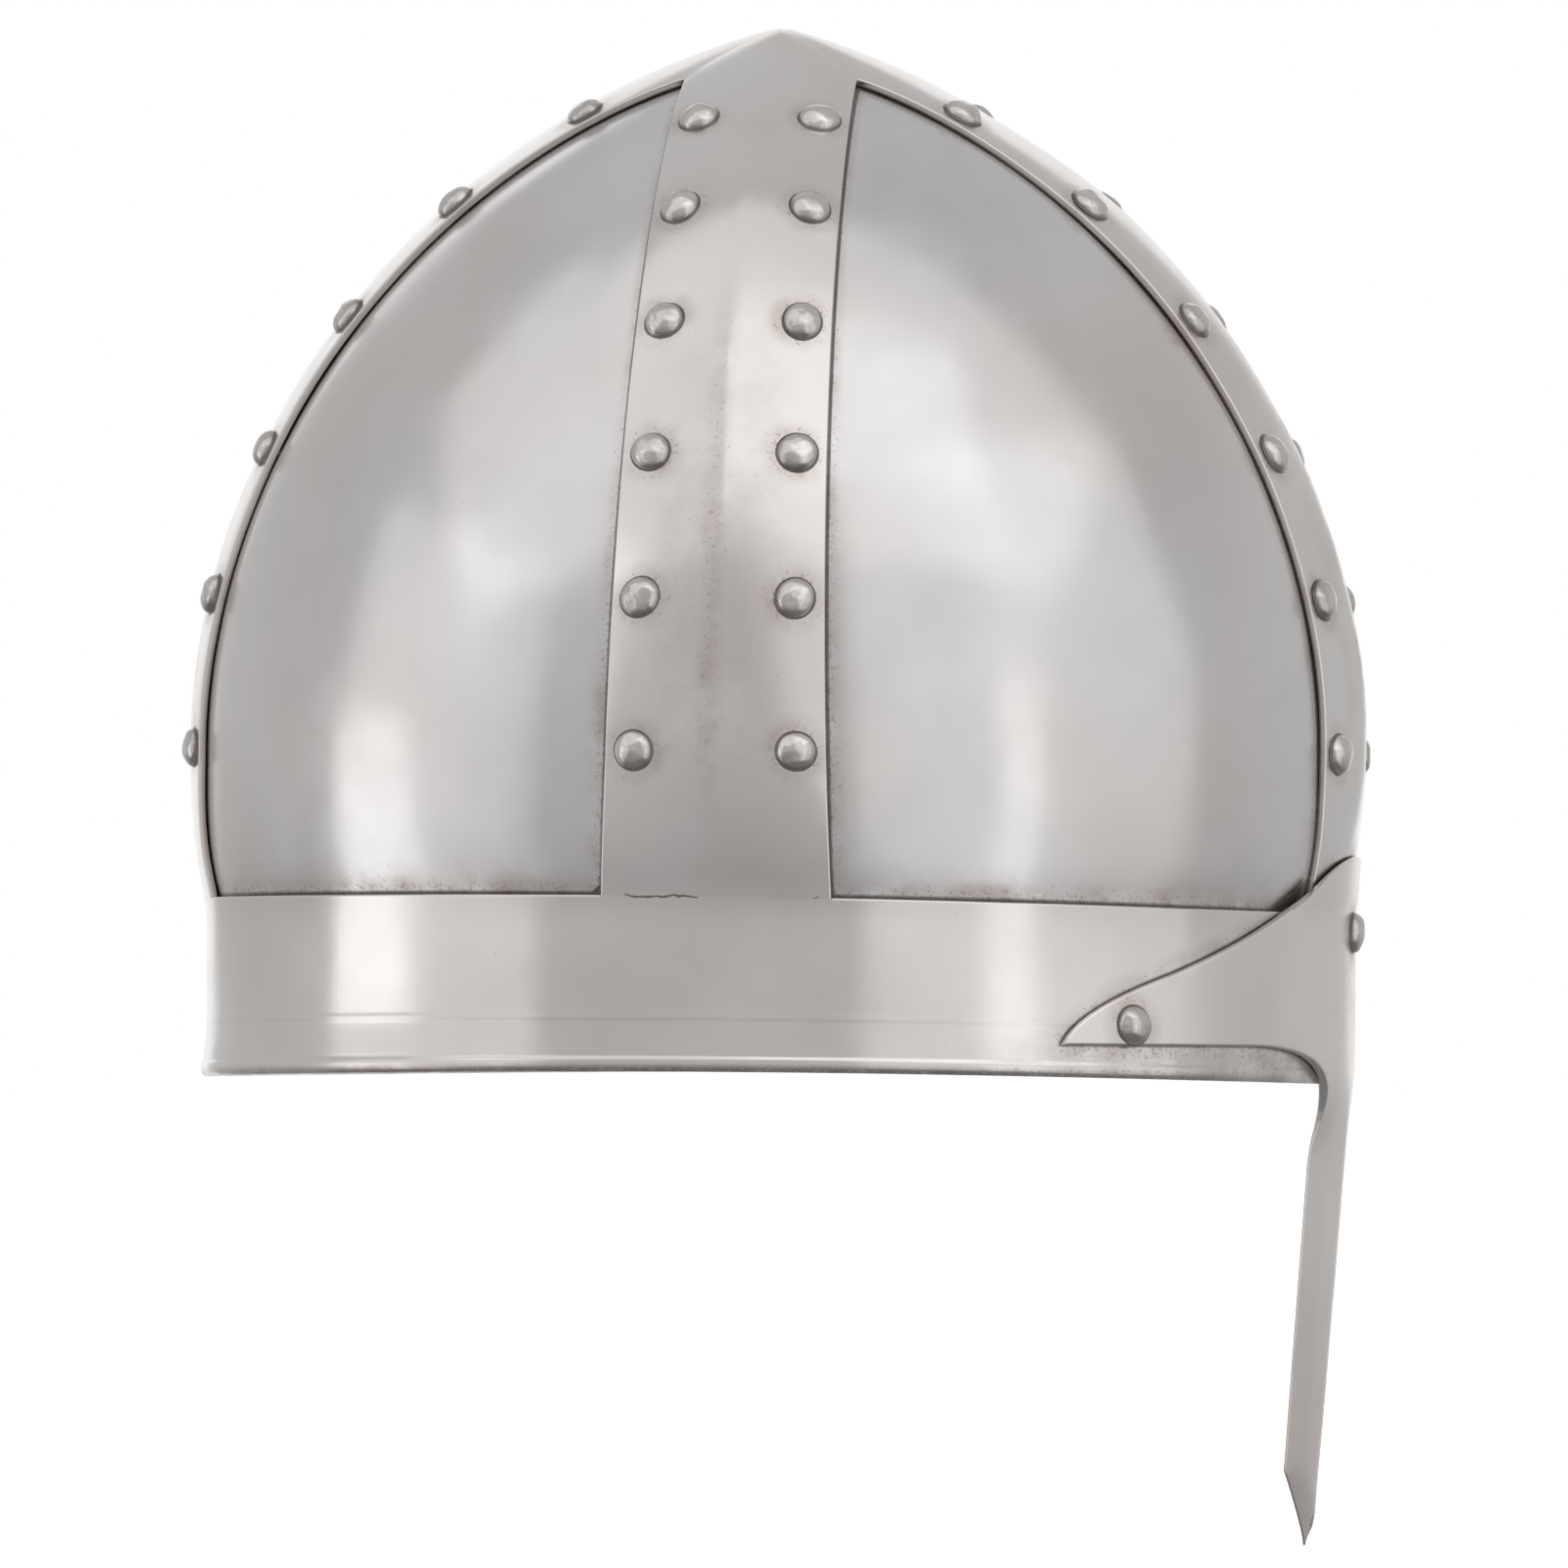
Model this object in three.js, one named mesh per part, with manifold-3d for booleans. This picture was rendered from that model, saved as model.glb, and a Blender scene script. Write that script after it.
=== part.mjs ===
// Riveted helmet with a nasal bar: a welded steel frame of one brow band and one
// four-armed strap cross, four plates riveted behind it, a T-shaped nasal guard
// riveted in front, and a laced leather liner inside.
// Millimetres. The origin is the middle of the head opening, in the rim's plane.
// +Z is up, the face looks along -Y, and +X is the wearer's left.

import * as THREE from 'three';
import { mergeVertices } from 'three/addons/utils/BufferGeometryUtils.js';
import { TessellateModifier } from 'three/addons/modifiers/TessellateModifier.js';
import Module from 'manifold-3d';

const wasm = await Module();
wasm.setup();

// Bowl form: half the length of the oval, its width over its length, and heights.
const BAND_RADIUS = 113.9;
const WIDTH_RATIO = 0.88;
const BAND_HEIGHT = 35;
const APEX_HEIGHT = 211.2;
const APEX_BLEND = 8;
const crown = new THREE.CubicBezierCurve(
  new THREE.Vector2(BAND_RADIUS, BAND_HEIGHT),
  new THREE.Vector2(131, 98),
  new THREE.Vector2(91, 185.5),
  new THREE.Vector2(0, APEX_HEIGHT),
);
crown.arcLengthDivisions = 600;
const CROWN_LENGTH = crown.getLength();

// Sheet thicknesses, and the gap left between touching pieces.
const FRAME_THICKNESS = 1.5;
const PLATE_THICKNESS = 1.2;
const NASAL_THICKNESS = 2;
const LEATHER_THICKNESS = 2;
const GAP = 0.3;
const PLATE_GAP = 0.4;

// Brow band: the flare and bead of its rim, how far it arches at the ears, and how
// much lower its top edge is in front and higher behind.
const FLARE = 0.6;
const BEAD = 0.45;
const FLARE_TOP = 7;
const FLARE_BOTTOM = 2;
const EAR_ARCH = 1.6;
const BAND_TAPER = 0.9;
const FLARE_STARTS_FROM_FRONT = 13 * Math.PI / 180;
const FLARE_FULL_FROM_FRONT = 24 * Math.PI / 180;

// Straps: half widths at the foot and near the crown, the ridge along the middle,
// and the pitch of the rivets. Oval is the plan's radius there over the profile's.
const FRONT_STRAP = { foot: 26, oval: WIDTH_RATIO, pitch: 31.2 };
const SIDE_STRAP = { foot: 23.1, oval: 1, pitch: 30.7 };
const STRAP_TOP = 17.9;
const STRAP_TOP_AT = 196;
const RIDGE_HEIGHT = 1.2;
const RIDGE_STARTS = 4;
const RIDGE_FULL = 32;
const MITRE = 45.4 * Math.PI / 180;

// Plates reach this far behind the straps and the band.
const PLATE_OVERLAP = 12;
const PLATE_TOP_AT = 204;

// Rivets.
const RIVETS_PER_ROW = 6;
const RIVET_EDGE_DISTANCE = 6;
const HEAD_RADIUS = 4;
const HEAD_HEIGHT = 2.9;
const SHANK_RADIUS = 1.5;
const TAIL_RADIUS = 2.5;
const TAIL_HEIGHT = 1.1;
const TAIL_GAP = 1.1;
const HOLE_RADIUS = 2.15;
const DRILL_LENGTH = 18;

// Nasal guard: a plate bent round the brow, and a bar with an arched section.
const NASAL_PEAK = 46;
const PEAK_THINS_FROM = 35;
const PEAK_THINNING = 0.6;
const WING_REACH = 101;
const WING_LOWER_EDGE = 7.6;
const BAR_HALF_WIDTH = 15;
const BAR_TIP_HALF_WIDTH = 13.6;
const BAR_SHOULDER = -77;
const BAR_TIP = -92;
const BAR_ARCH = 4.2;
const BAR_SLANT = 0.079;
const BAR_FORMED_AT = -12;
const FILLET_FOOT = -9;
const FILLET_REACH = 50;
const NASAL_GIRTH = 106.7;
const WING_RIVET = { girth: 85.6, height: 11.6 };
const TOP_RIVET = { girth: 0, height: 30.4 };

// Leather liner: a headband with eight tongues, drawn together by a lace.
const LINER_DEPTH = 5.3;
const LINER_BOTTOM = -27;
const LINER_SLIT = 41;
const LINER_TOP = 152;
const LINER_DRAW_IN = 15;
const TONGUES = 8;
const SLIT_HALF_ANGLE = 1.3 * Math.PI / 180;
const TIP_GAP_HALF_ANGLE = 5.2 * Math.PI / 180;
const TIP_ROUND = 16;
const LACE_AT = 141;
const LACE_RADIUS = 1.1;
const LACE_WAVE = 3;
const EYELET_RADIUS = 2.6;

const steel = { roughness: 0.35, metalness: 1 };
const materials = {
  frame: new THREE.MeshStandardMaterial({ color: 0xb9b7b4, ...steel }),
  plate: new THREE.MeshStandardMaterial({ color: 0xc2c0bd, ...steel }),
  rivet: new THREE.MeshStandardMaterial({ color: 0xa9a6a2, ...steel }),
  leather: new THREE.MeshStandardMaterial({ color: 0x5b3a22, roughness: 0.8, metalness: 0 }),
  lace: new THREE.MeshStandardMaterial({ color: 0x33241a, roughness: 0.85, metalness: 0 }),
};

// The bowl's profile at a distance s up the crown from the band's top edge.
function profileAt(s) {
  if (s <= 0) {
    return { r: BAND_RADIUS, z: BAND_HEIGHT + s, nr: 1, nz: 0 };
  }
  const share = Math.min(s / CROWN_LENGTH, 1);
  const point = crown.getPointAt(share);
  const tangent = crown.getTangentAt(share);
  return { r: point.x, z: point.y, nr: tangent.y, nz: -tangent.x };
}

// How far the rim rises above its lowest point, and the band's top edge, as a
// distance up the crown.
const rimLift = (phi) => EAR_ARCH * Math.sin(phi) ** 2;
const bandTop = (phi) => rimLift(phi) - BAND_TAPER * Math.cos(phi);

// A point of the bowl: phi goes round from the face to the wearer's left, s goes
// up the crown, and n is the distance out from the frame's outer face.
function onForm(phi, s, n) {
  const { r, z, nr, nz } = profileAt(s);
  const outward = nr * Math.min(1, r / APEX_BLEND);
  const normal = new THREE.Vector3(
    outward * Math.sin(phi) / WIDTH_RATIO,
    -outward * Math.cos(phi),
    nz,
  );
  const point = new THREE.Vector3(WIDTH_RATIO * r * Math.sin(phi), -r * Math.cos(phi), z);
  return point.addScaledVector(normal.normalize(), n);
}

// Moves every vertex of a geometry by a function of its x, y and z.
function bend(geometry, place) {
  const position = geometry.attributes.position;
  for (let i = 0; i < position.count; i += 1) {
    const p = place(position.getX(i), position.getY(i), position.getZ(i));
    position.setXYZ(i, p.x, p.y, p.z);
  }
  return geometry;
}

// A ring round the bowl from a closed section of (n, s) points.
function ring(section, segments, place) {
  const axisDistance = 100;
  const profile = section.map(([n, s]) => new THREE.Vector2(axisDistance + n, s));
  profile.push(profile[0].clone());
  const lathe = new THREE.LatheGeometry(profile, segments);
  return bend(lathe, (x, y, z) => place(Math.atan2(x, z), y, Math.hypot(x, z) - axisDistance));
}

// A closed triangle mesh as a solid: equal corners merged, triangles without area dropped.
function solidOf(geometry) {
  const bare = geometry.clone();
  bare.deleteAttribute('normal');
  bare.deleteAttribute('uv');
  const merged = mergeVertices(bare, 1e-3);
  const triVerts = [];
  for (let i = 0; i < merged.index.count; i += 3) {
    const [a, b, c] = [0, 1, 2].map((corner) => merged.index.getX(i + corner));
    if (a !== b && b !== c && c !== a) {
      triVerts.push(a, b, c);
    }
  }
  return new wasm.Manifold(new wasm.Mesh({
    numProp: 3,
    vertProperties: merged.attributes.position.array,
    triVerts: Uint32Array.from(triVerts),
  }));
}

function meshOf(name, solid, material) {
  const { vertProperties, triVerts } = solid.getMesh();
  const geometry = new THREE.BufferGeometry();
  geometry.setAttribute('position', new THREE.BufferAttribute(vertProperties, 3));
  geometry.setIndex(new THREE.BufferAttribute(triVerts, 1));
  geometry.computeVertexNormals();
  const mesh = new THREE.Mesh(geometry, material);
  mesh.name = name;
  return mesh;
}

// Straps. Each runs up one meridian; d is the distance sideways from its middle.
const straps = [
  { name: 'front', phi: 0, ...FRONT_STRAP, rows: ['right', 'left'] },
  { name: 'left', phi: Math.PI / 2, ...SIDE_STRAP, rows: ['front', 'back'] },
  { name: 'back', phi: Math.PI, ...FRONT_STRAP, rows: ['left', 'right'] },
  { name: 'right', phi: -Math.PI / 2, ...SIDE_STRAP, rows: ['back', 'front'] },
];

function halfWidth(strap, s) {
  return THREE.MathUtils.mapLinear(s, 0, STRAP_TOP_AT, strap.foot, STRAP_TOP);
}

function ridgeAt(s) {
  return RIDGE_HEIGHT * THREE.MathUtils.smoothstep(s, RIDGE_STARTS, RIDGE_FULL);
}

function angleAt(strap, s, d) {
  const sine = d / Math.max(strap.oval * profileAt(s).r, 1e-6);
  const limit = Math.sin(MITRE);
  return Math.asin(THREE.MathUtils.clamp(sine, -limit, limit));
}

function onStrap(strap, d, s, n) {
  const angle = angleAt(strap, s, d);
  const sideways = strap.oval * profileAt(s).r * Math.abs(Math.sin(angle));
  const drop = ridgeAt(s) * sideways / halfWidth(strap, s);
  return onForm(strap.phi + angle, s, n - drop);
}

function strapSolid(strap) {
  const box = new THREE.BoxGeometry(2, 1, 1, 4, 17, 1);
  return solidOf(bend(box, (x, y, z) => {
    const foot = bandTop(strap.phi + angleAt(strap, 0, x * strap.foot)) + GAP;
    const s = THREE.MathUtils.lerp(foot, CROWN_LENGTH, y + 0.5);
    return onStrap(strap, x * halfWidth(strap, s), s, (z - 0.5) * FRAME_THICKNESS);
  }));
}

// Rivets. Each has its own axis, normal to the face that its head sits on.
function frameOn(surface, a, b) {
  const step = 0.5;
  const across = surface(a + step, b).sub(surface(a - step, b));
  const along = surface(a, b + step).sub(surface(a, b - step));
  const normal = across.clone().cross(along).normalize();
  return { origin: surface(a, b), normal };
}

function rivetSolid(grip) {
  const flat = [
    [0, HEAD_HEIGHT],
    [HEAD_RADIUS * 0.62, HEAD_HEIGHT * 0.8],
    [HEAD_RADIUS, 0],
    [SHANK_RADIUS, 0],
    [SHANK_RADIUS, -grip],
    [TAIL_RADIUS, -grip],
    [0, -grip - TAIL_HEIGHT],
  ];
  const profile = flat.reverse().map(([r, h]) => new THREE.Vector2(r, h));
  return solidOf(new THREE.LatheGeometry(profile, 8));
}

function drillAt({ origin, normal }) {
  const drill = new THREE.CylinderGeometry(HOLE_RADIUS, HOLE_RADIUS, DRILL_LENGTH, 6);
  drill.applyQuaternion(upTo(normal));
  drill.translate(origin.x, origin.y, origin.z);
  return solidOf(drill);
}

function upTo(normal) {
  return new THREE.Quaternion().setFromUnitVectors(new THREE.Vector3(0, 1, 0), normal);
}

function drilled(solid, stations) {
  return stations.reduce((part, station) => part.subtract(drillAt(station)), solid);
}

function rivetMesh(name, station, grip) {
  const mesh = meshOf(name, rivetSolid(grip + GAP), materials.rivet);
  mesh.position.copy(station.origin).addScaledVector(station.normal, GAP);
  mesh.quaternion.copy(upTo(station.normal));
  return mesh;
}

const plateOuter = (s) => FRAME_THICKNESS + PLATE_GAP + ridgeAt(s);

function strapStations() {
  const stations = [];
  for (const strap of straps) {
    strap.rows.forEach((row, index) => {
      const side = index === 0 ? -1 : 1;
      for (let i = 0; i < RIVETS_PER_ROW; i += 1) {
        const s = strap.pitch * (i + 1);
        const d = side * (halfWidth(strap, s) - RIVET_EDGE_DISTANCE);
        const station = frameOn((a, b) => onStrap(strap, a, b, 0), d, s);
        const drop = ridgeAt(s) * Math.abs(d) / halfWidth(strap, s);
        const plates = plateOuter(s) + PLATE_THICKNESS - drop;
        const lowest = i === 0;
        const liner = LINER_DEPTH + LEATHER_THICKNESS - drop;
        const grip = (lowest ? liner : plates) + TAIL_GAP;
        stations.push({ ...station, grip, lowest, name: `rivet_${strap.name}_${row}_${i + 1}` });
      }
    });
  }
  return stations;
}

// Plates, one in each quarter between two straps.
const quarters = [
  { name: 'plate_front_left', from: 0, to: 1 },
  { name: 'plate_back_left', from: 1, to: 2 },
  { name: 'plate_back_right', from: 2, to: 3 },
  { name: 'plate_front_right', from: 3, to: 0 },
];

function plateSolid({ from, to }) {
  const [first, last] = [straps[from], straps[to]];
  const rows = 12;
  const box = new THREE.BoxGeometry(1, rows, 1, 7, rows, 1);
  return solidOf(bend(box, (x, y, z) => {
    const row = y + rows / 2;
    const s = row < 1 ? (row - 1) * PLATE_OVERLAP : (row - 1) * PLATE_TOP_AT / (rows - 1);
    const start = angleAt(first, s, halfWidth(first, s) - PLATE_OVERLAP);
    const end = angleAt(last, s, halfWidth(last, s) - PLATE_OVERLAP);
    const turn = THREE.MathUtils.lerp(start, Math.PI / 2 - end, x + 0.5);
    return onForm(first.phi + turn, s, (z - 0.5) * PLATE_THICKNESS - plateOuter(s));
  }));
}

// Brow band: a wall with a flared, beaded rim that dies out behind the nasal guard.
function bandSolid() {
  const wall = -FRAME_THICKNESS;
  const section = [
    [0, BAND_HEIGHT],
    [wall, BAND_HEIGHT],
    [wall, FLARE_TOP],
    [wall, 3],
    [wall + 0.4, 0.3],
    [BEAD * 0.5, 0],
    [BEAD, 1.3],
    [BEAD * 0.4, 2.8],
    [0, 3.6],
    [0, FLARE_TOP],
  ];
  return solidOf(ring(section, 64, (phi, z, n) => {
    const { smoothstep } = THREE.MathUtils;
    const away = smoothstep(Math.abs(phi), FLARE_STARTS_FROM_FRONT, FLARE_FULL_FROM_FRONT);
    const flare = FLARE * (1 - smoothstep(z, FLARE_BOTTOM, FLARE_TOP));
    const out = (n > 0 ? n * away : n) + flare * away;
    const s = THREE.MathUtils.lerp(rimLift(phi) - BAND_HEIGHT, bandTop(phi), z / BAND_HEIGHT);
    return onForm(phi, s, out);
  }));
}

// Nasal guard: a flat outline, girth sideways and height up, bent round the brow.
function onNasal(girth, height, n) {
  const thinned = PEAK_THINNING * THREE.MathUtils.smoothstep(height, PEAK_THINS_FROM, NASAL_PEAK);
  const out = GAP + n * (1 - thinned);
  const held = onForm(girth / NASAL_GIRTH, height - BAND_HEIGHT, out);
  const formed = 1 - THREE.MathUtils.smoothstep(height, BAR_FORMED_AT, 0);
  const side = Math.min(Math.abs(girth) / BAR_HALF_WIDTH, 1.4);
  const lean = Math.max(-height, 0) * BAR_SLANT;
  held.y += lean;
  const bar = new THREE.Vector3(
    girth,
    lean + BAR_ARCH * side ** 2 - BAND_RADIUS - out,
    height,
  );
  return held.lerp(bar, formed);
}

function nasalOutline() {
  const shape = new THREE.Shape();
  const half = [
    (to) => shape.lineTo(to * BAR_TIP_HALF_WIDTH, BAR_SHOULDER),
    (to) => shape.lineTo(to * BAR_HALF_WIDTH, FILLET_FOOT),
    (to) => shape.quadraticCurveTo(to * (BAR_HALF_WIDTH + 2), 6.6, to * FILLET_REACH, WING_LOWER_EDGE),
    (to) => shape.lineTo(to * WING_REACH, WING_LOWER_EDGE),
    (to) => shape.quadraticCurveTo(to * 97, 15.5, to * 75, 22),
    (to) => shape.quadraticCurveTo(to * 40, 34, to * 26, 41),
    (to) => shape.quadraticCurveTo(to * 15, NASAL_PEAK, 0, NASAL_PEAK),
  ];
  shape.moveTo(0, BAR_TIP);
  half.forEach((draw) => draw(1));
  const right = shape.getPoints(6);
  const left = right.slice(1, -1).reverse().map((p) => new THREE.Vector2(-p.x, p.y));
  return new THREE.Shape([...right, ...left]);
}

function nasalSolid() {
  const blank = new THREE.ExtrudeGeometry(nasalOutline(), {
    depth: NASAL_THICKNESS,
    bevelEnabled: false,
  });
  const fine = new TessellateModifier(15, 16).modify(blank);
  return solidOf(bend(fine, onNasal));
}

function nasalStations() {
  const places = [
    { name: 'rivet_nasal_top', ...TOP_RIVET },
    { name: 'rivet_nasal_left', ...WING_RIVET },
    { name: 'rivet_nasal_right', girth: -WING_RIVET.girth, height: WING_RIVET.height },
  ];
  const grip = NASAL_THICKNESS + GAP + FRAME_THICKNESS + GAP;
  return places.map(({ name, girth, height }) => ({
    name,
    grip,
    ...frameOn((a, b) => onNasal(a, b, NASAL_THICKNESS), girth, height),
  }));
}

// Liner and lace. The tongues lean in from the bowl above the slits' ends.
function linerDepth(s) {
  const rise = Math.max(s - LINER_SLIT, 0) / (LINER_TOP - LINER_SLIT);
  return LINER_DEPTH + LINER_DRAW_IN * rise ** 2;
}

function slitHalfAngle(s) {
  const rise = (s - LINER_SLIT) / (LINER_TOP - LINER_SLIT);
  const widening = THREE.MathUtils.lerp(SLIT_HALF_ANGLE, TIP_GAP_HALF_ANGLE, rise);
  const rounding = Math.max(s - LINER_TOP + TIP_ROUND, 0) / TIP_ROUND;
  return widening + 0.16 * rounding ** 2;
}

function slitSolid(index) {
  const middle = index * 2 * Math.PI / TONGUES;
  const box = new THREE.BoxGeometry(2, 1, 1, 2, 4, 1);
  const above = LINER_TOP + 4;
  return solidOf(bend(box, (x, y, z) => {
    const s = THREE.MathUtils.lerp(LINER_SLIT, above, y + 0.5);
    return onForm(middle + x * slitHalfAngle(s), s, z * 10 - linerDepth(s) - 1);
  }));
}

function eyeletStations() {
  const stations = [];
  const quarterWave = Math.PI / TONGUES / 2;
  for (let i = 0; i < TONGUES; i += 1) {
    const middle = (i + 0.5) * 2 * Math.PI / TONGUES;
    for (const side of [-1, 1]) {
      const phi = middle + side * quarterWave;
      stations.push(frameOn((a, b) => onForm(a / 50, b, -linerDepth(b) - 1), phi * 50, LACE_AT));
    }
  }
  return stations;
}

function eyelet({ origin, normal }) {
  const punch = new THREE.CylinderGeometry(EYELET_RADIUS, EYELET_RADIUS, 8, 6);
  punch.applyQuaternion(upTo(normal));
  punch.translate(origin.x, origin.y, origin.z);
  return solidOf(punch);
}

function linerSolid(stations) {
  const heights = [LINER_BOTTOM, 0, LINER_SLIT / 2, LINER_SLIT, 78, 115, LINER_TOP];
  const outer = heights.map((s) => [0, s]);
  const inner = heights.map((s) => [-LEATHER_THICKNESS, s]);
  const body = ring([...outer, ...inner.reverse()], 32, (phi, s, n) => (
    onForm(phi, s, n - linerDepth(s))));
  let liner = drilled(solidOf(body), stations);
  for (let i = 0; i < TONGUES; i += 1) {
    liner = liner.subtract(slitSolid(i));
  }
  for (const station of eyeletStations()) {
    liner = liner.subtract(eyelet(station));
  }
  return liner;
}

function laceSolid() {
  const sides = 5;
  const section = Array.from({ length: sides }, (_, i) => {
    const turn = i / sides * 2 * Math.PI;
    return [LACE_RADIUS * Math.cos(turn), LACE_RADIUS * Math.sin(turn)];
  });
  return solidOf(ring(section, 48, (phi, s, n) => {
    const wave = -LACE_WAVE * Math.cos(TONGUES * phi);
    return onForm(phi, LACE_AT + s, n + wave - linerDepth(LACE_AT) - LEATHER_THICKNESS / 2);
  }));
}

const strapRivets = strapStations();
const nasalRivets = nasalStations();
const helmet = new THREE.Group();
helmet.name = 'knight_helmet';

const cross = straps.map(strapSolid).reduce((joined, arm) => joined.add(arm));
helmet.add(meshOf('brow_band', drilled(bandSolid(), nasalRivets), materials.frame));
helmet.add(meshOf('strap_cross', drilled(cross, strapRivets), materials.frame));
for (const quarter of quarters) {
  helmet.add(meshOf(quarter.name, drilled(plateSolid(quarter), strapRivets), materials.plate));
}
helmet.add(meshOf('nasal_guard', drilled(nasalSolid(), nasalRivets), materials.frame));
for (const station of [...strapRivets, ...nasalRivets]) {
  helmet.add(rivetMesh(station.name, station, station.grip));
}
const linerRivets = strapRivets.filter((station) => station.lowest);
helmet.add(meshOf('leather_liner', linerSolid(linerRivets), materials.leather));
helmet.add(meshOf('liner_lace', laceSolid(), materials.lace));

export default helmet;
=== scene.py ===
"""Looks of the riveted nasal helmet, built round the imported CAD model.

The frame is in metres, +Z up, the face towards -Y. The forms below are worked out in
millimetres, in the same frame, and turned into metres when a mesh is made.
"""

import math
from collections import namedtuple

import bmesh
import bpy
import numpy as np
from mathutils import Matrix, Vector, noise


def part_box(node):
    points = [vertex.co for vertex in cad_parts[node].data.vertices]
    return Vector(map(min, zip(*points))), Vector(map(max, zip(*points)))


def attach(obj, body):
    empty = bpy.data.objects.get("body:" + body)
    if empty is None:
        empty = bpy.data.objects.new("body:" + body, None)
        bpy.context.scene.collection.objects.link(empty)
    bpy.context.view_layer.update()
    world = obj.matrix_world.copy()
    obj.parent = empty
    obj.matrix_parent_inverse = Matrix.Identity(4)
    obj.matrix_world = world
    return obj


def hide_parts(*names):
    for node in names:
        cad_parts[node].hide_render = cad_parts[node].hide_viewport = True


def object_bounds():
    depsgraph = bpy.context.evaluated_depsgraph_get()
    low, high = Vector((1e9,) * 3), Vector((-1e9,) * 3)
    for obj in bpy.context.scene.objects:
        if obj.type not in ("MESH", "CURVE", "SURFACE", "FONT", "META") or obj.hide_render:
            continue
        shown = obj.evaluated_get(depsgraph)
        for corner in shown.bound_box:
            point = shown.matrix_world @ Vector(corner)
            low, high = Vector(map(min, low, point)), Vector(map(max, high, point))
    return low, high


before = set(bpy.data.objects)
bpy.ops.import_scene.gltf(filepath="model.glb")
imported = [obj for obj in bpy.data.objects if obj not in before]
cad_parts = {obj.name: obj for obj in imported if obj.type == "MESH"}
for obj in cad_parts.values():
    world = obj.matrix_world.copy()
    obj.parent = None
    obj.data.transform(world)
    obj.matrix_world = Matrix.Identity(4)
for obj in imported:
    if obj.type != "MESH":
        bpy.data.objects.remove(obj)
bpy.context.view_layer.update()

MM = 0.001

# ---------------------------------------------------------------- driving sizes, mm

# Bowl: half the length of the oval, its width over its length, the band's height, and
# the control points of the curve that the front and back of the crown follow.
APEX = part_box("strap_cross")[1].z / MM
BAND_RADIUS = 113.9
WIDTH_RATIO = 0.88
BAND_HEIGHT = 35.0
CROWN = np.array([(BAND_RADIUS, BAND_HEIGHT), (131, 98), (91, 185.5), (0, APEX)])
APEX_BLEND = 8.0
APEX_SLOPE = (APEX - CROWN[2, 1]) / CROWN[2, 0]
APEX_ROUNDING = 2.2

# Sheet thicknesses, the gaps between touching pieces, and how far the plates spring
# out towards the straps.
FRAME_THICKNESS = 1.5
PLATE_THICKNESS = 1.2
NASAL_THICKNESS = 2.0
LEATHER_THICKNESS = 2.0
GAP = 0.3
PLATE_GAP = 0.4
PLATE_SPRING = 0.25

# Brow band: the flare and bead of its rim, the fine raised line above them, how far
# the rim arches at the ears, and how the band tapers towards the face.
FLARE = 0.6
FLARE_TOP = 10.6
FLARE_FOOT = 3.6
CREASE_AT = 11.0
CREASE_HEIGHT = 0.12
CREASE_WIDTH = 0.65
BEAD = 0.55
BEAD_AT = 1.9
BEAD_RISE = 1.75
EAR_ARCH = 1.6
BAND_TAPER = 0.9
FLARE_STARTS = math.radians(13)
FLARE_FULL = math.radians(24)

# Straps: half widths at the foot and near the crown, the pressed ridge, how far up the
# hammer raised the fold, their eased edges, and the dressing of the weld at the foot.
FRONT_FOOT = 26.0
SIDE_FOOT = 23.1
STRAP_TOP = 17.9
STRAP_TOP_AT = 196.0
RIDGE_HEIGHT = 1.2
RIDGE_STARTS = 4.0
RIDGE_FULL = 32.0
RIDGE_ROUNDING = 0.05
FOLD_FULL = 50.0
FOLD_FADES_FROM = 150.0
FOLD_ENDS = 192.0
EDGE_EASE = 0.35
INNER_EASE = 0.15
WELD_EASE = 7.0
WELD_DRESSED = 12.0
WELD_UNTOUCHED = 36.0

# Plates: how far they reach behind the straps and the band, and how high.
PLATE_OVERLAP = 12.0
PLATE_TOP_AT = 204.0

# Rivets: domed head outside, shank, and a peened tail inside. The ring of oxide round
# the foot of a head is points: distance out from the head, height.
RIVETS_PER_ROW = 6
RIVET_EDGE_DISTANCE = 6.0
HEAD_RADIUS = 4.0
HEAD_HEIGHT = 2.65
HEAD_SUNK = 0.12
DOME_FULLNESS = 0.9
OXIDE_RING = ((0.05, 0.14), (0.35, 0.03), (0.4, -HEAD_SUNK))
SHANK_RADIUS = 1.5
TAIL_RADIUS = 2.5
TAIL_HEIGHT = 1.1

# Nasal guard: its flat pattern, how the bar is arched and leans, and what was filed off
# its edges. A wing's top edge is curves: control point, end point, number of steps.
NASAL_PEAK = 46.0
WING_REACH = 101.0
WING_LOWER_EDGE = 7.6
WING_TOP = (((97, 15.5), (75, 22), 10), ((40, 34), (26, 41), 8), ((15, NASAL_PEAK), (0, NASAL_PEAK), 8))
BAR_HALF_WIDTH = 15.0
BAR_TIP_HALF_WIDTH = 13.6
BAR_SHOULDER = -77.0
BAR_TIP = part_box("nasal_guard")[0].z / MM
BAR_ARCH = 4.2
BAR_FOLD = 0.85
BAR_BELLY = 0.22
BAR_ROUNDING = 0.08
BAR_SLANT = 0.079
BAR_FORMED_AT = -16.0
BAR_FORMS_FROM = 6.0
FILLET_FOOT = -9.0
FILLET_REACH = 50.0
NASAL_GIRTH = 106.7
PEAK_THINS_FROM = 35.0
PEAK_THINNING = 0.6
EDGE_THINNING = 0.72
EDGE_FILED = 5.0
WING_RIVET = (85.6, 11.6)
TOP_RIVET = (0.0, 30.4)

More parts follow.
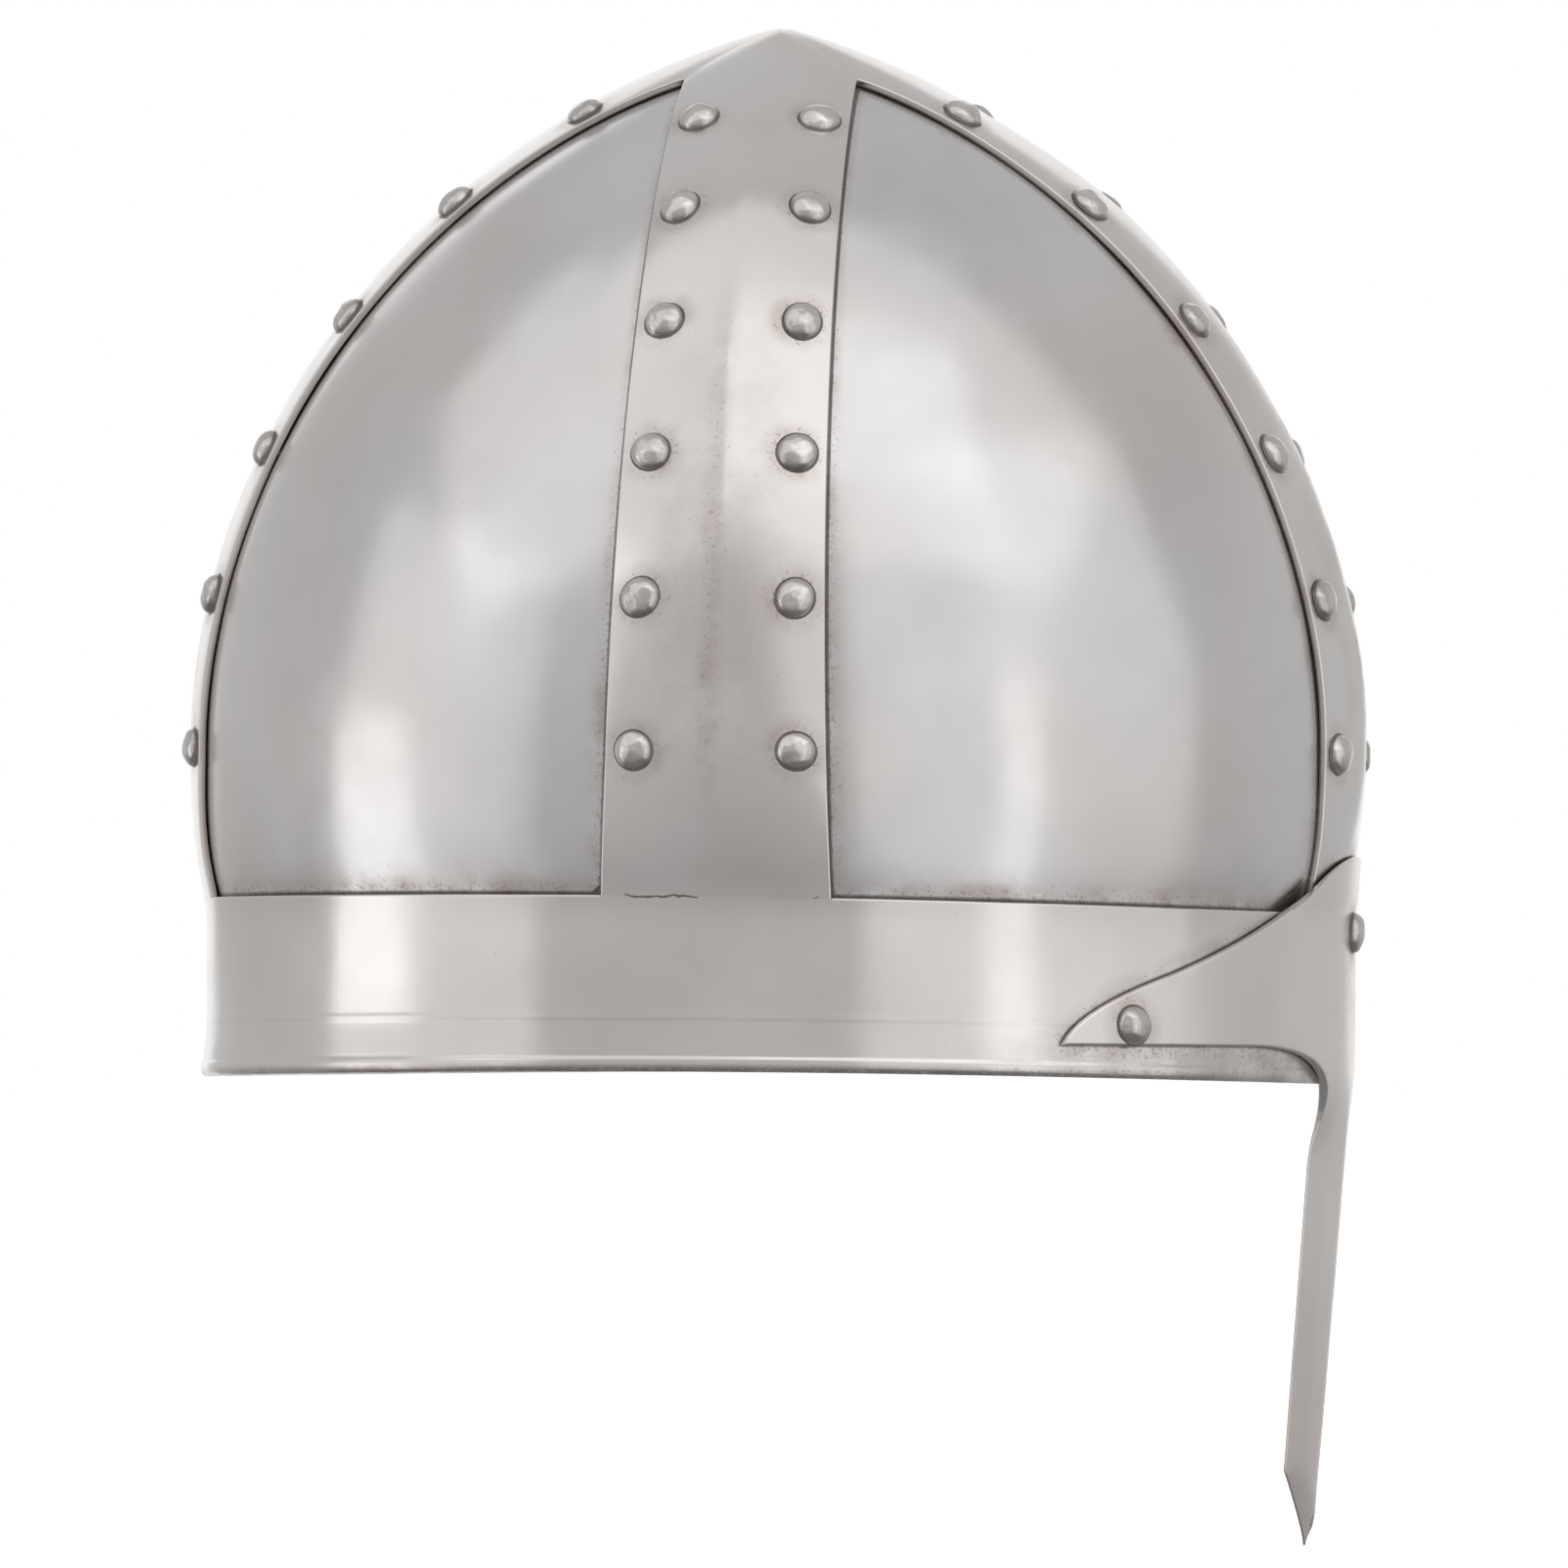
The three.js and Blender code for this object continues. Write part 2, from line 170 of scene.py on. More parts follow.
# Liner and lace: a headband slit into tongues, drawn together over the head.
LINER_DEPTH = 5.3
LINER_BOTTOM = -27.0
LINER_SLIT = 41.0
LINER_TOP = 152.0
LINER_DRAW_IN = 15.0
TONGUE_ROUNDING = 13.0
TONGUES = 8
SLIT_HALF_ANGLE = math.radians(1.3)
TIP_GAP_HALF_ANGLE = math.radians(5.2)
LACE_AT = 141.0
LACE_RADIUS = 1.1
LACE_WAVE = 3.0


def smoothstep(x, low, high):
    """0 up to low, 1 from high, smooth in between."""
    t = np.clip((np.asarray(x, float) - low) / (high - low), 0, 1)
    return t * t * (3 - 2 * t)


# ---------------------------------------------------------------- the bowl's form


def crown_table(steps=3000):
    """Distance up the crown, radius, height and unit tangent along its profile."""
    t = np.linspace(0, 1, steps)[:, None]
    a, b, c, d = CROWN
    points = (1 - t) ** 3 * a + 3 * (1 - t) ** 2 * t * b + 3 * (1 - t) * t * t * c + t ** 3 * d
    chords = np.diff(points, axis=0)
    distance = np.concatenate([[0], np.cumsum(np.hypot(*chords.T))])
    tangent = np.gradient(points, axis=0)
    tangent /= np.hypot(*tangent.T)[:, None]
    return distance, points, tangent


CROWN_AT, CROWN_POINTS, CROWN_TANGENTS = crown_table()
CROWN_LENGTH = CROWN_AT[-1]


def profile(s):
    """Radius, height and outward normal at a distance s up from the band's top edge."""
    s = np.asarray(s, float)
    up = np.clip(s, 0, CROWN_LENGTH)
    r, z = (np.interp(up, CROWN_AT, CROWN_POINTS[:, i]) for i in (0, 1))
    tr, tz = (np.interp(up, CROWN_AT, CROWN_TANGENTS[:, i]) for i in (0, 1))
    wall = s <= 0
    z = np.where(wall, BAND_HEIGHT + s, z)
    z = z - APEX_SLOPE * (np.sqrt(r * r + APEX_ROUNDING ** 2) - r)
    return r, z, np.where(wall, 1, tz), np.where(wall, 0, -tr)


def welded_profile(s):
    """The same profile with the crease at the band's top edge dressed round, as it was
    ground after welding."""
    s = np.asarray(s, float)
    reach = WELD_EASE * (1 - smoothstep(np.abs(s), WELD_DRESSED, WELD_UNTOUCHED))
    steps = np.linspace(-1, 1, 9)
    weights = 1.1 - np.abs(steps)
    total = sum(weight * np.stack(profile(s + k * reach)) for k, weight in zip(steps, weights))
    r, z, nr, nz = total / sum(weights)
    length = np.hypot(nr, nz)
    return r, z, nr / length, nz / length


def on_form(phi, s, n, outline=profile):
    """Points of the bowl: phi round from the face to the wearer's left, n outwards."""
    r, z, nr, nz = outline(s)
    out = nr * np.minimum(1, r / APEX_BLEND)
    normal = np.stack([out * np.sin(phi) / WIDTH_RATIO, -out * np.cos(phi), nz + 0 * phi], -1)
    normal /= np.linalg.norm(normal, axis=-1, keepdims=True)
    point = np.stack([WIDTH_RATIO * r * np.sin(phi), -r * np.cos(phi), z + 0 * phi], -1)
    return point + normal * np.asarray(n, float)[..., None]


def rim_lift(phi):
    """Height of the rim over its lowest point."""
    return EAR_ARCH * np.sin(phi) ** 2


def band_top(phi):
    """The band's top edge, as a distance up the crown."""
    return rim_lift(phi) - BAND_TAPER * np.cos(phi)


def half_width(foot, s):
    return foot + (STRAP_TOP - foot) * np.asarray(s, float) / STRAP_TOP_AT


def ridge(s):
    return RIDGE_HEIGHT * smoothstep(s, RIDGE_STARTS, RIDGE_FULL)


# Each strap: its heading, half width at the foot, plan radius there over the profile's,
# rivet pitch, the names of its two rivet rows, and how far its fold was raised.
Strap = namedtuple("Strap", "name heading foot oval pitch rows raised")
STRAPS = (
    Strap("front", 0.0, FRONT_FOOT, WIDTH_RATIO, 31.2, ("right", "left"), 1.2),
    Strap("left", math.pi / 2, SIDE_FOOT, 1.0, 30.7, ("front", "back"), 1.5),
    Strap("back", math.pi, FRONT_FOOT, WIDTH_RATIO, 31.2, ("left", "right"), 0.5),
    Strap("right", -math.pi / 2, SIDE_FOOT, 1.0, 30.7, ("back", "front"), 1.5),
)


def strap_angle(strap, s, d):
    """Angle from a strap's middle to a point at a distance d across it."""
    r = np.maximum(profile(s)[0], 1e-6)
    return np.arcsin(np.clip(d / (strap.oval * r), -0.999, 0.999))


def fold(strap, d, s):
    """Height of a strap's face over the form: its raised ridge, its fallen sides."""
    share = np.abs(d) / half_width(strap.foot, s)
    soft = np.sqrt(share ** 2 + RIDGE_ROUNDING ** 2) - RIDGE_ROUNDING
    fallen = ridge(s) * soft / (math.hypot(1, RIDGE_ROUNDING) - RIDGE_ROUNDING)
    here = smoothstep(s, RIDGE_STARTS, FOLD_FULL) * (1 - smoothstep(s, FOLD_FADES_FROM, FOLD_ENDS))
    return strap.raised * here * np.maximum(1 - soft, 0) - fallen


def on_strap(strap, d, s):
    """Points of a strap's face: d across it, s up the crown."""
    return on_form(strap.heading + strap_angle(strap, s, d), s, fold(strap, d, s))


def plate_outer(s):
    """Depth of a plate's outer face under the form."""
    return FRAME_THICKNESS + PLATE_GAP + ridge(s)


def mitre_table(steps=800):
    """Where two straps meet: share of the half width against distance up the crown."""
    s = np.linspace(120, CROWN_LENGTH, steps)
    front, side = half_width(FRONT_FOOT, s), half_width(SIDE_FOOT, s)
    angle = np.arctan2(front / WIDTH_RATIO, side)
    share = profile(s)[0] * np.cos(angle) / side
    return share[::-1], s[::-1]


MITRE_SHARE, MITRE_AT = mitre_table()


# ---------------------------------------------------------------- unevenness of the sheet


def wobble(points, scale, height, seed):
    """Gentle hammered unevenness: a height in mm at each point."""
    shift = Vector((seed * 7.3, seed * 3.1, seed * 5.7))
    flat = points.reshape(-1, 3)
    values = [noise.noise(Vector(p) / scale + shift) for p in flat]
    return height * np.array(values).reshape(points.shape[:-1])


# ---------------------------------------------------------------- mesh making


SAME_POINT = 0.02
SHARP_FROM = 50


def grid_faces(rows, columns):
    """Quads of a grid of rows x columns points, facing out of the bowl."""
    index = np.arange(rows * columns).reshape(rows, columns)
    quads = [index[:-1, :-1], index[:-1, 1:], index[1:, 1:], index[1:, :-1]]
    return np.stack([q.ravel() for q in quads], -1)


def object_from(name, grids, marks=None, closed=False):
    """One mesh object from grids of points in mm. Marks are named values at each point."""
    faces, start = [], 0
    for grid in grids:
        rows, columns = grid.shape[:2]
        faces += (grid_faces(rows, columns) + start).tolist()
        start += rows * columns
    points = np.concatenate([grid.reshape(-1, 3) for grid in grids])
    mesh = bpy.data.meshes.new(name)
    mesh.from_pydata((points * MM).tolist(), [], faces)
    set_marks(mesh, {key: np.concatenate([grid.ravel() for grid in values])
                     for key, values in (marks or {}).items()})
    bm = bmesh.new()
    bm.from_mesh(mesh)
    bmesh.ops.remove_doubles(bm, verts=bm.verts, dist=SAME_POINT * MM)
    if closed:
        bmesh.ops.holes_fill(bm, edges=[edge for edge in bm.edges if edge.is_boundary])
    bm.to_mesh(mesh)
    bm.free()
    return link(name, mesh)


def set_marks(mesh, marks):
    for key, values in marks.items():
        mark = mesh.attributes.new(key, "FLOAT", "POINT")
        mark.data.foreach_set("value", values.astype(np.float32))


def link(name, data):
    made = bpy.data.objects.new(name, data)
    bpy.context.scene.collection.objects.link(made)
    return made


def smooth(made, sharp_from=SHARP_FROM):
    """Smooth shading that keeps big flats flat beside small eased edges."""
    made.data.shade_smooth()
    made.data.set_sharp_from_angle(angle=math.radians(sharp_from))
    even = made.modifiers.new("even shading", "WEIGHTED_NORMAL")
    even.keep_sharp = True


def thicken(made, thickness, bevel):
    """Turns an open sheet into a solid one with eased edges. The given face is outside."""
    solid = made.modifiers.new("thickness", "SOLIDIFY")
    solid.thickness = thickness * MM
    solid.offset = -1
    solid.use_even_offset = True
    eased = made.modifiers.new("eased edges", "BEVEL")
    eased.width = bevel * MM
    eased.segments = 2
    eased.limit_method = "ANGLE"
    eased.angle_limit = math.radians(SHARP_FROM)
    smooth(made)


def settle(made, material, node):
    """Gives a piece its material and its body, and hides the CAD node that it stands for."""
    made.data.materials.append(material)
    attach(made, "root")
    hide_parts(node)


# ---------------------------------------------------------------- marks of wear and painted shade
#
# Marks are distances, kept as nearness so that they run evenly across a face and are
# nought where a piece has none. "edge" is nearness to a gap or rim, where the steel is drawn darker and
# browner,
# "rivet" to a rivet head, the stain mark an amount of brown bloom with painted shade in it,
# "open_weld" is one round a stretch of weld that was left open, and "rise" is the height above its joint.

REACH = 20.0
WELD_REACH = 10.0
GUARD_LINE = 0.15  # the dark line round the nasal guard starts this far out from it


def nearness(distance):
    """1 at a distance of nothing, 0 from REACH on, and past 1 under a neighbour."""
    return np.maximum(1 - distance / REACH, 0)


def weld_marks(rise, inside):
    """How open a weld is, and the height above its joint as a share of the reach."""
    beside = inside & (np.abs(rise) < 0.8 * WELD_REACH)
    return np.where(beside, 1.0, 0.0), rise / WELD_REACH


# ---------------------------------------------------------------- materials


def linear(hex_colour):
    """An sRGB hex colour as linear RGBA."""
    channels = [int(hex_colour[i:i + 2], 16) / 255 for i in (1, 3, 5)]
    return [c / 12.92 if c <= 0.04045 else ((c + 0.055) / 1.055) ** 2.4 for c in channels] + [1]


def add(tree, kind, inputs=None, out=0, **settings):
    """Adds a node and gives back an output; inputs are plain values or other outputs."""
    node = tree.nodes.new(kind)
    for key, value in settings.items():
        setattr(node, key, value)
    for key, value in (inputs or {}).items():
        if isinstance(value, bpy.types.NodeSocket):
            tree.links.new(value, node.inputs[key])
        else:
            node.inputs[key].default_value = value
    return node.outputs[out]


def per_mm(size):
    """Texture scale for a pattern of the given size in mm, on coordinates in metres."""
    return 1 / (size * MM)


def new_material(name):
    material = bpy.data.materials.new(name)
    material.use_nodes = True
    tree = material.node_tree
    return material, tree, tree.nodes["Principled BSDF"], add(tree, "ShaderNodeTexCoord", out="Object")


def mixed(tree, share, under, over):
    """The colour over laid on the colour under, by the given share."""
    return add(tree, "ShaderNodeMix", {0: share, 6: under, 7: over}, out=2, data_type="RGBA")


# How far grime creeps from a gap and from a rivet, in mm, where a gap line fades out and
# is full, how far an open weld wanders, and how wide it is at its core and at its rim.
GRIME_BY_EDGE = 4.8
GRIME_BY_RIVET = 4.4
GAP_LINE = (0.7, 0.16)
CRACK_WANDER = 3.0
CRACK_WIDTH = (0.12, 0.3)

BROWN_BLOOM_AND_SHADE = "#937b6f"
OXIDE_FRECKLE = "#54453d"
BLACK_GAP = "#2c2522"
WARM_GREY = "#d0c5bf"
RIVET_BLOOM_AND_SHADE = "#7d6a60"


def wear_and_shade(tree, where):
    """Shares of a steel surface: brown bloom with painted shade mixed in, small oxide freckles, and dark gap
    lines.
    """
    edge, rivet, stain_and_shade, open_weld, rise = (
        add(tree, "ShaderNodeAttribute", out="Fac", attribute_name=key)
        for key in ("edge", "rivet", "stain_and_shade", "open_weld", "rise"))
    by_edge = add(tree, "ShaderNodeMapRange",
                  {"Value": edge, "From Min": nearness(GRIME_BY_EDGE), "To Max": 0.75},
                  interpolation_type="SMOOTHSTEP")
    by_rivet = add(tree, "ShaderNodeMapRange",
                   {"Value": rivet, "From Min": nearness(GRIME_BY_RIVET), "To Max": 0.8},
                   interpolation_type="SMOOTHSTEP")
    both = add(tree, "ShaderNodeMath", {0: by_edge, 1: by_rivet}, operation="MAXIMUM")
    grime_and_shade = add(tree, "ShaderNodeMath", {0: both, 1: stain_and_shade}, operation="ADD", use_clamp=True)

    patches = add(tree, "ShaderNodeTexNoise",
                  {"Vector": where, "Scale": per_mm(9), "Detail": 3, "Roughness": 0.6})
    uneven = add(tree, "ShaderNodeMapRange",
                 {"Value": patches, "From Min": 0.3, "From Max": 0.7, "To Max": 0.55})
    bloom_and_shade = add(tree, "ShaderNodeMath", {0: grime_and_shade, 1: uneven}, operation="MULTIPLY")

    grit = add(tree, "ShaderNodeTexNoise",
               {"Vector": where, "Scale": per_mm(0.9), "Detail": 3, "Roughness": 0.7})
    level = add(tree, "ShaderNodeMath", {0: grime_and_shade, 1: 0.18, 2: grit}, operation="MULTIPLY_ADD")
    freckles = add(tree, "ShaderNodeMapRange",
                   {"Value": level, "From Min": 0.69, "From Max": 0.80, "To Max": 0.42},
                   interpolation_type="SMOOTHSTEP")

    fades, full = (nearness(at) for at in GAP_LINE)
    gap = add(tree, "ShaderNodeMapRange", {"Value": edge, "From Min": fades, "From Max": full, "To Max": 0.8})
    wander = add(tree, "ShaderNodeTexNoise",
                 {"Vector": where, "Scale": per_mm(8), "Detail": 3, "Roughness": 0.7})
    sway = CRACK_WANDER / WELD_REACH
    core, border = (width / WELD_REACH for width in CRACK_WIDTH)
    line = add(tree, "ShaderNodeMath", {0: wander, 1: sway, 2: rise}, operation="MULTIPLY_ADD")
    off = add(tree, "ShaderNodeMath", {0: line, 1: sway / 2}, operation="SUBTRACT")
    off = add(tree, "ShaderNodeMath", {0: off}, operation="ABSOLUTE")
    hair = add(tree, "ShaderNodeMapRange",
               {"Value": off, "From Min": core, "From Max": border, "To Min": 0.9, "To Max": 0})
    here = add(tree, "ShaderNodeMapRange", {"Value": open_weld, "From Min": 0.7})
    crack = add(tree, "ShaderNodeMath", {0: hair, 1: here}, operation="MULTIPLY")
    dark = add(tree, "ShaderNodeMath", {0: gap, 1: crack}, operation="MAXIMUM")
    return bloom_and_shade, freckles, dark


def satin_steel(name, light, dark, rough):
    """Mild steel sheet, ground with a fine belt and wiped with oil: a soft broad sheen in
    greys that wander between warm and cool, brown bloom beside laps and rivets, and
    painted shade where the marks call for it."""
    material, tree, shader, where = new_material(name)
    bloom_and_shade, freckles, gap = wear_and_shade(tree, where)

    cloud = add(tree, "ShaderNodeTexNoise",
                {"Vector": where, "Scale": per_mm(48), "Detail": 3, "Roughness": 0.5})
    tone = add(tree, "ShaderNodeMapRange", {"Value": cloud, "From Min": 0.35, "From Max": 0.65})
    colour = mixed(tree, tone, linear(light), linear(dark))
    hue = add(tree, "ShaderNodeTexNoise",
              {"Vector": where, "Scale": per_mm(70), "Detail": 1, "Distortion": 0.4})
    warmth = add(tree, "ShaderNodeMapRange", {"Value": hue, "From Min": 0.45, "From Max": 0.7, "To Max": 0.5})
    colour = mixed(tree, warmth, colour, linear(WARM_GREY))
    colour = mixed(tree, bloom_and_shade, colour, linear(BROWN_BLOOM_AND_SHADE))
    colour = mixed(tree, freckles, colour, linear(OXIDE_FRECKLE))
    colour = mixed(tree, gap, colour, linear(BLACK_GAP))
    tree.links.new(colour, shader.inputs["Base Color"])

    blotch = add(tree, "ShaderNodeTexNoise",
                 {"Vector": where, "Scale": per_mm(18), "Detail": 5, "Roughness": 0.6})
    sheen = add(tree, "ShaderNodeMapRange", {"Value": blotch, "From Min": 0.3, "From Max": 0.7,
                                             "To Min": rough - 0.04, "To Max": rough + 0.05})
    duller = add(tree, "ShaderNodeMath", {0: bloom_and_shade, 1: 0.25, 2: sheen}, operation="MULTIPLY_ADD")
    tree.links.new(duller, shader.inputs["Roughness"])
    dirt = add(tree, "ShaderNodeMath", {0: freckles, 1: gap}, operation="MAXIMUM")
    metal = add(tree, "ShaderNodeMapRange", {"Value": dirt, "To Min": 1.0, "To Max": 0.5})
    tree.links.new(metal, shader.inputs["Metallic"])

    # Belt marks run up the sheet. Real ones are finer; these are as coarse as can be seen.
    drawn = add(tree, "ShaderNodeMapping", {"Vector": where, "Scale": (1, 1, 0.05)})
    marks = add(tree, "ShaderNodeTexNoise",
                {"Vector": drawn, "Scale": per_mm(0.8), "Detail": 4, "Roughness": 0.7})
    relief = add(tree, "ShaderNodeMath", {0: dirt, 1: -0.8, 2: marks}, operation="MULTIPLY_ADD")
    bump = add(tree, "ShaderNodeBump", {"Strength": 0.12, "Distance": 0.05 * MM, "Height": relief})
    tree.links.new(bump, shader.inputs["Normal"])
    return material


def hammered_steel(name):
    """Mild steel rivets, set by hand: small bright domes, faintly faceted by the hammer,
    with brown bloom, painted shade towards the foot, and a dark line of oxide round it."""
    material, tree, shader, where = new_material(name)
    bloom_and_shade, _, gap = wear_and_shade(tree, where)
    patches = add(tree, "ShaderNodeTexNoise",
                  {"Vector": where, "Scale": per_mm(3), "Detail": 4, "Roughness": 0.6})
    tone = add(tree, "ShaderNodeMapRange", {"Value": patches, "From Min": 0.3, "From Max": 0.7})
    colour = mixed(tree, tone, linear("#dddbd9"), linear("#c3bfbc"))
    colour = mixed(tree, bloom_and_shade, colour, linear(RIVET_BLOOM_AND_SHADE))
    colour = mixed(tree, gap, colour, linear(BLACK_GAP))
    tree.links.new(colour, shader.inputs["Base Color"])
    rough = add(tree, "ShaderNodeMapRange", {"Value": patches, "From Min": 0.3, "From Max": 0.7,
                                             "To Min": 0.13, "To Max": 0.25})
    tree.links.new(rough, shader.inputs["Roughness"])
    metal = add(tree, "ShaderNodeMapRange", {"Value": gap, "To Min": 1.0, "To Max": 0.4})
    tree.links.new(metal, shader.inputs["Metallic"])
    facets = add(tree, "ShaderNodeTexVoronoi", {"Vector": where, "Scale": per_mm(2.2)}, feature="SMOOTH_F1")
    bump = add(tree, "ShaderNodeBump", {"Strength": 0.55, "Distance": 0.4 * MM, "Height": facets})
    tree.links.new(bump, shader.inputs["Normal"])
    return material


def oiled_leather(name, light, dark):
    """Vegetable-tanned cowhide, oiled by hand: brown, grainy, darker where it was handled."""
    material, tree, shader, where = new_material(name)
    shade = add(tree, "ShaderNodeTexNoise",
                {"Vector": where, "Scale": per_mm(30), "Detail": 5, "Roughness": 0.6})
    tone = add(tree, "ShaderNodeMapRange", {"Value": shade, "From Min": 0.3, "From Max": 0.7})
    colour = mixed(tree, tone, linear(light), linear(dark))
    grain = add(tree, "ShaderNodeTexVoronoi", {"Vector": where, "Scale": per_mm(1.3)}, feature="SMOOTH_F1")
    pores = add(tree, "ShaderNodeTexNoise", {"Vector": where, "Scale": per_mm(0.6), "Detail": 3})
    crease = add(tree, "ShaderNodeMapRange", {"Value": grain, "From Min": 0.2, "From Max": 0.7,
                                              "To Min": 0.75, "To Max": 1.05})
    colour = add(tree, "ShaderNodeVectorMath", {0: colour, "Scale": crease}, operation="SCALE")
    tree.links.new(colour, shader.inputs["Base Color"])
    rough = add(tree, "ShaderNodeMapRange", {"Value": pores, "To Min": 0.45, "To Max": 0.7})
    tree.links.new(rough, shader.inputs["Roughness"])
    height = add(tree, "ShaderNodeMath", {0: grain, 1: 0.7, 2: pores}, operation="MULTIPLY_ADD")
    bump = add(tree, "ShaderNodeBump", {"Strength": 0.5, "Distance": 0.25 * MM, "Height": height})
    tree.links.new(bump, shader.inputs["Normal"])
    return material


# The plates were ground cool and even, the frame a little brighter and warmer with its
# welds, and the nasal guard softest of all.
PLATE_STEEL = satin_steel("satin_ground_steel_plate", "#dbd9d9", "#cecccc", 0.20)
FRAME_STEEL = satin_steel("satin_ground_steel_strap", "#dedbd9", "#d2cecb", 0.165)
NASAL_STEEL = satin_steel("satin_ground_steel_nasal", "#e1dcd9", "#d5cfcb", 0.23)
RIVET_STEEL = hammered_steel("hammered_steel_rivet")
LINER_LEATHER = oiled_leather("oiled_leather_brown", "#6b4427", "#4b2c18")
LACE_LEATHER = oiled_leather("oiled_leather_dark", "#3a281c", "#27190f")


# ---------------------------------------------------------------- rivets


def frame_on(surface, a, b):
    """Point and outward normal of a surface of two coordinates."""
    a, b, step = np.float64(a), np.float64(b), 0.5
    across = surface(a + step, b) - surface(a - step, b)
    along = surface(a, b + step) - surface(a, b - step)
    normal = np.cross(across, along)
    return surface(a, b), normal / np.linalg.norm(normal)


def strap_stations():
    """Name, point, normal and grip of every strap rivet."""
    found = []
    for strap in STRAPS:
        for side, row in zip((-1, 1), strap.rows):
            for i in range(RIVETS_PER_ROW):
                s = strap.pitch * (i + 1)
                d = side * (half_width(strap.foot, s) - RIVET_EDGE_DISTANCE)
                point, normal = frame_on(lambda a, b: on_strap(strap, a, b), d, s)
                grip = plate_outer(s) + PLATE_THICKNESS
                if i == 0:  # the lowest rivets hold the liner too
                    grip = LINER_DEPTH + LEATHER_THICKNESS
                found.append((f"rivet_{strap.name}_{row}_{i + 1}", point, normal, float(grip)))
    return found


def nasal_thinning(girth, height):
    """Share of the thickness filed off: at the peak and along the bar's edges."""
    peak = PEAK_THINNING * smoothstep(height, PEAK_THINS_FROM, NASAL_PEAK)
    rim = np.interp(height, (BAR_TIP, BAR_SHOULDER, 0), (0, BAR_TIP_HALF_WIDTH, BAR_HALF_WIDTH))
    edges = EDGE_THINNING * smoothstep(np.abs(girth), rim - EDGE_FILED, rim) * smoothstep(-height, 0, 14)
    return np.maximum(peak, edges)


def on_nasal(girth, height, n):
    """Points of the nasal guard from its flat pattern: girth sideways, height up."""
    out = GAP + n * (1 - nasal_thinning(girth, height))
    held = on_form(girth / NASAL_GIRTH, height - BAND_HEIGHT, out)
    formed = 1 - smoothstep(height, BAR_FORMED_AT, BAR_FORMS_FROM)
    side = np.minimum(np.abs(girth) / BAR_HALF_WIDTH, 1.4)
    folded = np.sqrt(side ** 2 + BAR_ROUNDING ** 2) - BAR_ROUNDING
    arch = BAR_ARCH * (BAR_FOLD * folded + BAR_BELLY * side ** 2)
    lean = np.maximum(-height, 0) * BAR_SLANT
    held[..., 1] += lean
    bar = np.stack([girth, lean + arch - BAND_RADIUS - out, height], -1)
    return held + (bar - held) * formed[..., None]


def curve(a, control, b, steps):
    """Points of a quadratic curve from a to b, without its first point."""
    t = np.linspace(0, 1, steps + 1)[1:, None]
    a, control, b = (np.array(p, float) for p in (a, control, b))
    return ((1 - t) ** 2 * a + 2 * (1 - t) * t * control + t * t * b).tolist()


def nasal_outline():
    """Flat outline of the guard: x is the girth sideways, y is the height."""
    half = [(0.0, BAR_TIP), (BAR_TIP_HALF_WIDTH, BAR_SHOULDER), (BAR_HALF_WIDTH, FILLET_FOOT)]
    half += curve(half[-1], (BAR_HALF_WIDTH + 2, 6.6), (FILLET_REACH, WING_LOWER_EDGE), 16)
    half += [(WING_REACH, WING_LOWER_EDGE)]
    for control, end, steps in WING_TOP:
        half += curve(half[-1], control, end, steps)
    mirrored = [(-x, y) for x, y in half[-2:0:-1]]
    return half + mirrored


NASAL_OUTLINE = np.array(nasal_outline())


def nasal_distance(phi, s):
    """Distance in mm from points of the bowl to the guard's outline, less than 0 under it."""
    turned = (phi + math.pi) % (2 * math.pi) - math.pi
    flat = np.stack(np.broadcast_arrays(turned * NASAL_GIRTH, s + BAND_HEIGHT), -1)
    along = np.roll(NASAL_OUTLINE, -1, 0) - NASAL_OUTLINE
    away = flat[..., None, :] - NASAL_OUTLINE
    share = np.clip((away * along).sum(-1) / (along ** 2).sum(-1), 0, 1)
    distance = np.linalg.norm(away - share[..., None] * along, axis=-1)
    rise = np.where(along[:, 1] == 0, 1e-9, along[:, 1])
    height = away[..., 1] / rise
    crossed = (height >= 0) & (height < 1) & (away[..., 0] < height * along[:, 0])
    return distance.min(-1) * np.where(crossed.sum(-1) % 2 == 1, -1, 1)


def nasal_stations():
    """Name, point, normal and grip of the three rivets that hold the nasal guard."""
    found = []
    places = (("top", TOP_RIVET), ("left", WING_RIVET), ("right", (-WING_RIVET[0], WING_RIVET[1])))
    for name, (girth, height) in places:
        point, normal = frame_on(lambda a, b: on_nasal(a, b, NASAL_THICKNESS), girth, height)
        found.append((f"rivet_nasal_{name}", point, normal, NASAL_THICKNESS + FRAME_THICKNESS))
    return found


STRAP_RIVETS = strap_stations()
NASAL_RIVETS = nasal_stations()
RIVET_POINTS = np.array([point for _, point, _, _ in STRAP_RIVETS + NASAL_RIVETS])


def rivet_distance(points):
    """Distance in mm from each point to the rim of the nearest rivet head."""
    flat = points.reshape(-1, 3)
    away = np.min([np.linalg.norm(flat - p, axis=1) for p in RIVET_POINTS], axis=0)
    return np.maximum(away - HEAD_RADIUS, 0).reshape(points.shape[:-1])


def rivet_section(head, tall, grip):
    """Radius and height from the top of the head down to the end of the tail."""
    dome = [(head * math.sin(a), tall * math.cos(a) ** DOME_FULLNESS) for a in np.linspace(0.02, 1.5, 12)]
    oxide = [(head + out, height) for out, height in OXIDE_RING]
    shank = [(SHANK_RADIUS, -HEAD_SUNK), (SHANK_RADIUS, -grip)]
    tail = [(TAIL_RADIUS, -grip), (0.9 * TAIL_RADIUS, -grip - 0.7 * TAIL_HEIGHT), (0.02, -grip - TAIL_HEIGHT)]
    return np.array(dome + oxide + shank + tail).T[..., None]


